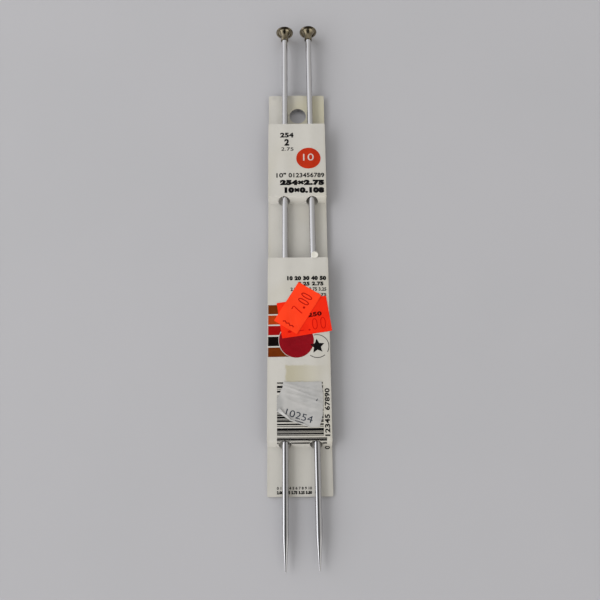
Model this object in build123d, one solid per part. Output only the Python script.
from build123d import *
from math import asin, atan2, cos, degrees, hypot, radians, sin, tan
import os

# A pair of straight single-point knitting needles on their narrow shop card, lying flat with the card's
# front up. The card is a backing strip with a hang hole and two front panels. Each panel lies over the
# needles, steps down through a crease that has one punched hole per needle, and is glued to the backing
# below that step, so each needle weaves over, under and over the card and can be pulled out of it.
# Sizes are in millimetres.
#
# The card's own frame is used while modelling: X across the card with 0 on its centre line, Y up the
# card from its bottom edge, Z out of its front with 0 on the needles' axes. Everything is then laid down
# on its resting place by the last function.

# Needles
needle_length = 254.0
shaft_d = 2.75
point_length = 13.0
point_tip_r = 0.38
point_shoulder_r = 45.0

# Each needle's place: the tip's height up the card, and the axis at the tip and at the head
left_tip_y = -28.3
left_tip_x = -6.05
left_head_x = -5.6
right_tip_y = -28.0
right_tip_x = 7.45
right_head_x = 6.22

# Head: a flared ferrule on the shaft, closed by a domed cap that is curled over the ferrule's rim
rim_d = 8.5
dome_height = 1.9
cap_sheet = 0.28
cap_lip_width = 0.6
cap_edge = 0.28
head_depth = 4.9
collar_d = 3.7
collar_length = 2.0
collar_countersink = 0.25
collar_edge = 0.1
ferrule_rim = 0.34
socket_floor = 0.9
socket_clearance = 0.02
cap_clearance = 0.03

# Card
card_width = 27.0
card_length = 188.3
board = 0.45
needle_clearance = 0.15
corner_r = 0.6
hang_hole_d = 8.0
hang_hole_x = 0.6
hang_hole_inset = 11.3

# Front panels
step_angle = 60.0
crease_r = 0.5
upper_bottom_y = 88.0
upper_step_y = 130.5
header_length = 18.0
lower_step_y = 20.2
lower_top_y = 102.3

# Punched needle holes, round in the flat sheet, their centres just above the crease of the step
needle_hole_d = 5.3
needle_hole_pitch = 13.0
needle_hole_x = 0.35
needle_hole_rise = 1.42

# Stickers, label and loose dot on the front
sticker = 0.1
sticker_corner_r = 0.4
lower_sticker_size = (22.0, 16.0)
lower_sticker_place = (2.5, 74.8)
lower_sticker_angle = 8.6
upper_sticker_size = (20.6, 11.7)
upper_sticker_place = (-0.3, 78.9)
upper_sticker_angle = 57.9
label_place = (0.4, 36.8)
label_outline = (
    (-7.1, 9.3), (-9.8, 3.8), (-10.0, -1.6), (-9.8, -2.7), (-4.4, -6.5), (2.6, -8.8),
    (4.5, -9.3), (8.1, -9.1), (9.4, -4.4), (9.9, 3.6), (8.9, 9.0), (1.5, 8.6),
)
label_corner_r = 0.4
dot_d = 3.1
dot_place = (7.5, 103.3)

# Sizes that follow from the ones above
shaft_r = shaft_d / 2
rim_r = rim_d / 2
collar_r = collar_d / 2
panel_under = shaft_r + needle_clearance
panel_top = panel_under + board
backing_top = -panel_top
backing_under = backing_top - board
ferrule_r = rim_r - cap_sheet - cap_clearance
cap_lip_r = rim_r - cap_sheet - cap_lip_width
hang_hole_y = card_length - hang_hole_inset
upper_top_y = card_length - header_length
rim_y = needle_length - dome_height
cap_seat_y = rim_y + ferrule_rim / 2


def laid_sheet(outline, z):
    """A thin flat piece of the sticker's thickness, its back face at height z."""
    return Pos(0, 0, z) * extrude(outline, sticker)


def rounded_plan(width, low_y, high_y):
    """Plan of a card piece, on the card's centre line."""
    plan = Pos(0, (low_y + high_y) / 2) * RectangleRounded(width, high_y - low_y, corner_r)
    return plan


def backing_card():
    """Flat strip behind the needles, with the round hang hole in its head."""
    plan = rounded_plan(card_width, 0, card_length)
    plan -= Pos(hang_hole_x, hang_hole_y) * Circle(hang_hole_d / 2)
    return Pos(0, 0, backing_under) * extrude(plan, board)


def needle_hole_cutters(step_y):
    """Cutters for one row of punched holes, one part for the step and one for the flat below it."""
    rise = radians(step_angle)
    flat_mid = backing_top + board / 2
    lean = Rot(X=step_angle)
    cutters = []
    for side in (-1, 1):
        x = needle_hole_x + side * needle_hole_pitch / 2
        on_step = Pos(x, step_y + needle_hole_rise * cos(rise), flat_mid + needle_hole_rise * sin(rise))
        cutters.append(on_step * lean * Cylinder(needle_hole_d / 2, 2 * board))
        on_flat = Pos(x, step_y + needle_hole_rise, flat_mid)
        cutters.append(on_flat * Cylinder(needle_hole_d / 2, 1.5 * board))
    return cutters


def front_panel(bottom_y, step_y, top_y):
    """Front panel: glued flat, stepped up over the needles through its hole row, free top edge."""
    flat_mid = backing_top + board / 2
    raised_mid = panel_top - board / 2
    run = (raised_mid - flat_mid) / tan(radians(step_angle))
    half = board / 2
    miter = half * tan(radians(step_angle / 2))
    inner_low = (step_y - miter, flat_mid + half)
    outer_low = (step_y + miter, flat_mid - half)
    outer_high = (step_y + run - miter, raised_mid + half)
    inner_high = (step_y + run + miter, raised_mid - half)
    section = Polyline(
        (bottom_y, flat_mid - half), outer_low, inner_high, (top_y, raised_mid - half),
        (top_y, raised_mid + half), outer_high, inner_low, (bottom_y, flat_mid + half), close=True,
    )
    profile = make_face(section)
    profile = fillet(vertices_at(profile, (inner_low, inner_high)), crease_r)
    profile = fillet(vertices_at(profile, (outer_low, outer_high)), crease_r + board)
    panel = extrude(Plane.YZ * profile, card_width / 2, both=True)
    panel = fillet(panel.edges().filter_by(Axis.Z), corner_r)
    for cutter in needle_hole_cutters(step_y):
        panel -= cutter
    return panel


def vertices_at(shape, points):
    """The corners of a flat shape that lie on the given points."""
    return [v for v in shape.vertices() if min(hypot(v.X - x, v.Y - y) for x, y in points) < 0.001]


def about_y(profile):
    """Solid of revolution about the Y axis from a closed half profile in the XY plane."""
    return revolve(make_face(profile), Axis.Y)


def needle_shaft():
    """Plain rod with a long tapered point, its tip at the origin and its axis along Y."""
    cone_length = point_length - point_tip_r
    lean = atan2(shaft_r, cone_length) - asin(point_tip_r / hypot(shaft_r, cone_length))
    setback = point_shoulder_r * tan(lean / 2)
    tip_end = (point_tip_r * cos(lean), point_tip_r * (1 - sin(lean)))
    cone_end = (shaft_r - setback * sin(lean), point_length - setback * cos(lean))
    shoulder_end = (shaft_r, point_length + setback)
    top_y = rim_y - socket_floor
    profile = Curve() + [
        CenterArc((0, point_tip_r), point_tip_r, -90, 90 - degrees(lean)),
        Line(tip_end, cone_end),
        RadiusArc(cone_end, shoulder_end, -point_shoulder_r),
        Polyline(shoulder_end, (shaft_r, top_y), (0, top_y), (0, 0)),
    ]
    return about_y(profile)


def head_ferrule():
    """Collar round the shaft, flared like a golf tee out to the rim, with a blind socket."""
    under_y = rim_y - ferrule_rim / 2
    collar_y = rim_y - head_depth
    flare_y = collar_y + collar_length
    socket_r = shaft_r + socket_clearance
    socket_y = rim_y - socket_floor + socket_clearance
    flare_end_r = cap_lip_r - cap_clearance
    spread = flare_end_r - collar_r
    flare_r = (spread**2 + (under_y - flare_y) ** 2) / (2 * spread)
    profile = Curve() + [
        Polyline(
            (socket_r, socket_y), (socket_r, collar_y + collar_countersink),
            (socket_r + collar_countersink / 2, collar_y), (collar_r - collar_edge, collar_y),
            (collar_r, collar_y + collar_edge), (collar_r, flare_y),
        ),
        RadiusArc((collar_r, flare_y), (flare_end_r, under_y), flare_r),
        Polyline(
            (flare_end_r, under_y), (ferrule_r, under_y), (ferrule_r, cap_seat_y), (0, cap_seat_y),
            (0, socket_y), (socket_r, socket_y),
        ),
    ]
    return about_y(profile)


def head_cap():
    """Domed face disc whose edge is curled back over the ferrule's rim."""
    lip_y = rim_y - ferrule_rim / 2 - cap_clearance
    lip_end_y = lip_y - cap_sheet
    groove_r = ferrule_r + cap_clearance
    shoulder_y = cap_seat_y + cap_sheet
    edge_r = rim_r - cap_edge
    rise = needle_length - shoulder_y
    dome_r = (edge_r**2 + rise**2) / (2 * rise)
    profile = Curve() + [
        Polyline(
            (0, cap_seat_y), (groove_r, cap_seat_y), (groove_r, lip_y), (cap_lip_r, lip_y),
            (cap_lip_r, lip_end_y), (edge_r, lip_end_y), (rim_r, lip_end_y + cap_edge),
            (rim_r, shoulder_y - cap_edge), (edge_r, shoulder_y),
        ),
        RadiusArc((edge_r, shoulder_y), (0, needle_length), -dome_r),
        Line((0, needle_length), (0, cap_seat_y)),
    ]
    return about_y(profile)


def needle_place(tip_x, tip_y, head_x):
    """Where a needle modelled along Y lies in the card, which it crosses at a small angle."""
    yaw = degrees(asin((head_x - tip_x) / needle_length))
    return Pos(tip_x, tip_y, 0) * Rot(Z=-yaw)


def price_sticker(size, place, angle, layer):
    """Rectangular paper sticker, laid on the raised panel at its layer."""
    outline = Pos(*place) * Rot(Z=angle) * RectangleRounded(*size, sticker_corner_r)
    return laid_sheet(outline, panel_top + layer * sticker)


def torn_label():
    """Remains of a paper label over the bar code."""
    outline = make_face(Polyline(*label_outline, close=True))
    outline = fillet(outline.vertices(), label_corner_r)
    return laid_sheet(Pos(*label_place) * outline, panel_top)


def paper_dot():
    """Round scrap of card stuck on the lower panel's top edge, over the right needle."""
    return laid_sheet(Pos(*dot_place) * Circle(dot_d / 2), panel_top)


def resting_place():
    """The card's frame laid on the ground: the card's bottom edge and both head rims touch it."""
    tips_y = (left_tip_y + right_tip_y) / 2
    tilt = atan2(rim_r + backing_under, tips_y + rim_y)
    middle = tips_y + needle_length / 2
    return Pos(0, -middle, -backing_under) * Rot(X=degrees(tilt))


def assembly():
    """Every piece in the card's frame, by name."""
    pieces = {
        "backing_card": backing_card(),
        "upper_front_panel": front_panel(upper_bottom_y, upper_step_y, upper_top_y),
        "lower_front_panel": front_panel(0, lower_step_y, lower_top_y),
        "lower_price_sticker": price_sticker(lower_sticker_size, lower_sticker_place, lower_sticker_angle, 0),
        "upper_price_sticker": price_sticker(upper_sticker_size, upper_sticker_place, upper_sticker_angle, 1),
        "torn_label": torn_label(),
        "paper_dot": paper_dot(),
    }
    left = needle_place(left_tip_x, left_tip_y, left_head_x)
    right = needle_place(right_tip_x, right_tip_y, right_head_x)
    for side, place in (("left", left), ("right", right)):
        pieces[side + "_needle_shaft"] = place * needle_shaft()
        pieces[side + "_head_ferrule"] = place * head_ferrule()
        pieces[side + "_head_cap"] = place * head_cap()
    return pieces


os.makedirs("parts", exist_ok=True)
rest = resting_place()
for name, piece in assembly().items():
    export_step(rest * piece, f"parts/{name}.step")
